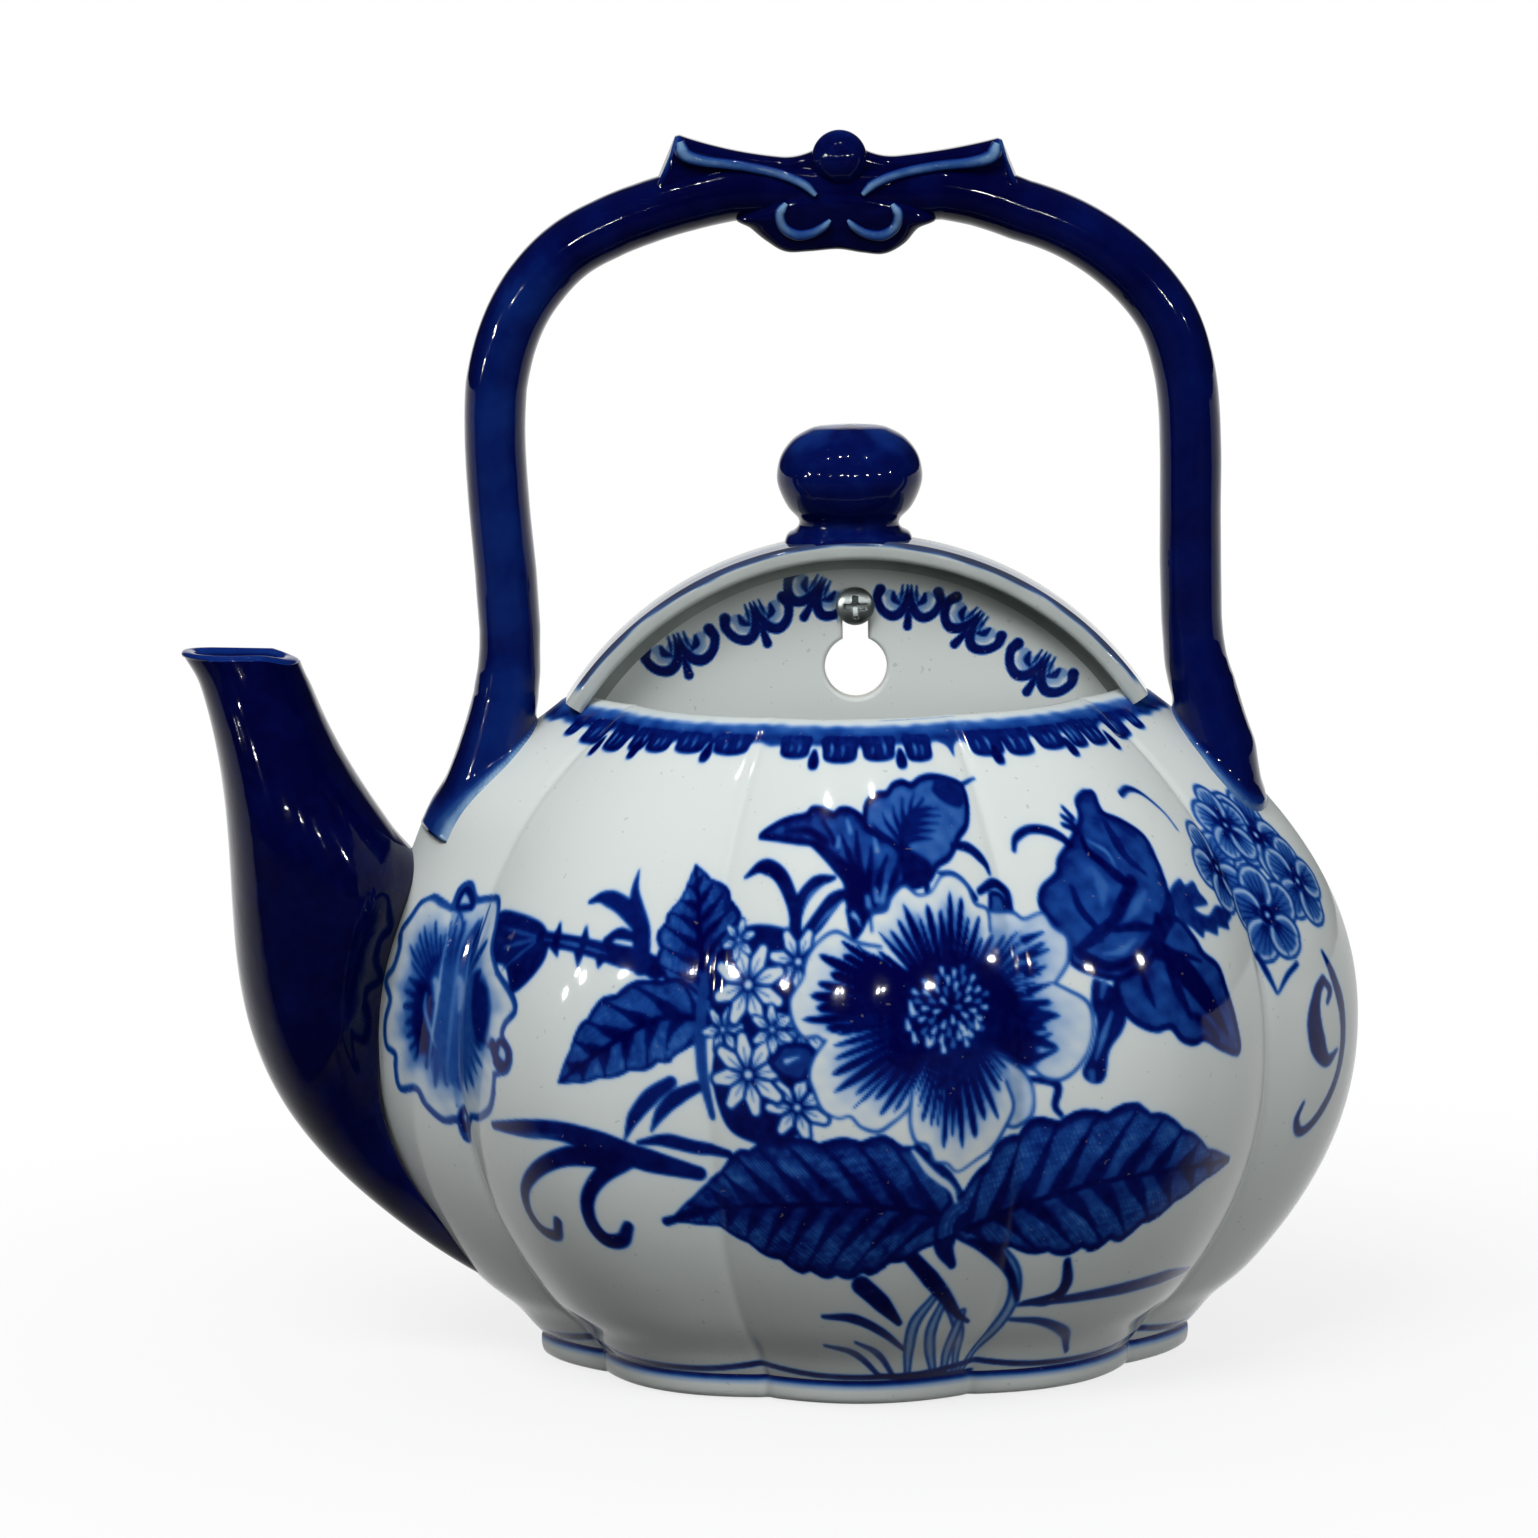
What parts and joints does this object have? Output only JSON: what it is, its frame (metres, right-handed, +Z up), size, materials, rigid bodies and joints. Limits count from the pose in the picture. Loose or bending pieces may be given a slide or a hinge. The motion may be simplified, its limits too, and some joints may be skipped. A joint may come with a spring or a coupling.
{
  "type": "teapot-shaped wall pocket",
  "caption": "Flat-backed half teapot in blue and white glazed porcelain that hangs by a keyhole on a wall screw and holds flowers or a small plant.",
  "frame": {"origin": "on the wall plane, at the axis of the wall screw that the pot hangs on", "axes": "+X to the right as seen from the room, -Y out of the wall into the room, +Y into the wall, +Z up"},
  "size_m": [0.2446, 0.1065, 0.2597],
  "materials": {
    "white_porcelain": "clear gloss glaze on white porcelain, cobalt lines and scrolls",
    "painted_porcelain": "clear gloss glaze over underglaze cobalt flowers and leaves",
    "cobalt_glaze": "deep cobalt gloss glaze, paler where it thins on raised edges",
    "screw_steel": "zinc-plated steel"
  },
  "bodies": {
    "screw": {"wall_screw": "screw_steel"},
    "pot": {"back_plate": "white_porcelain", "pocket_wall": "painted_porcelain", "foot": "white_porcelain", "lid_wall_arch": "white_porcelain", "lid_knob": "cobalt_glaze", "spout": "cobalt_glaze", "handle_hoop": "cobalt_glaze", "ribbon_left": "cobalt_glaze", "ribbon_right": "cobalt_glaze", "scroll_sprig": "cobalt_glaze", "bow_bead": "cobalt_glaze"}
  },
  "joints": [
    {"name": "keyhole_lift", "type": "slide", "parent": "screw", "child": "pot", "axis": [0, 0, 1], "range_m": [0, 0.0173]}
  ]
}
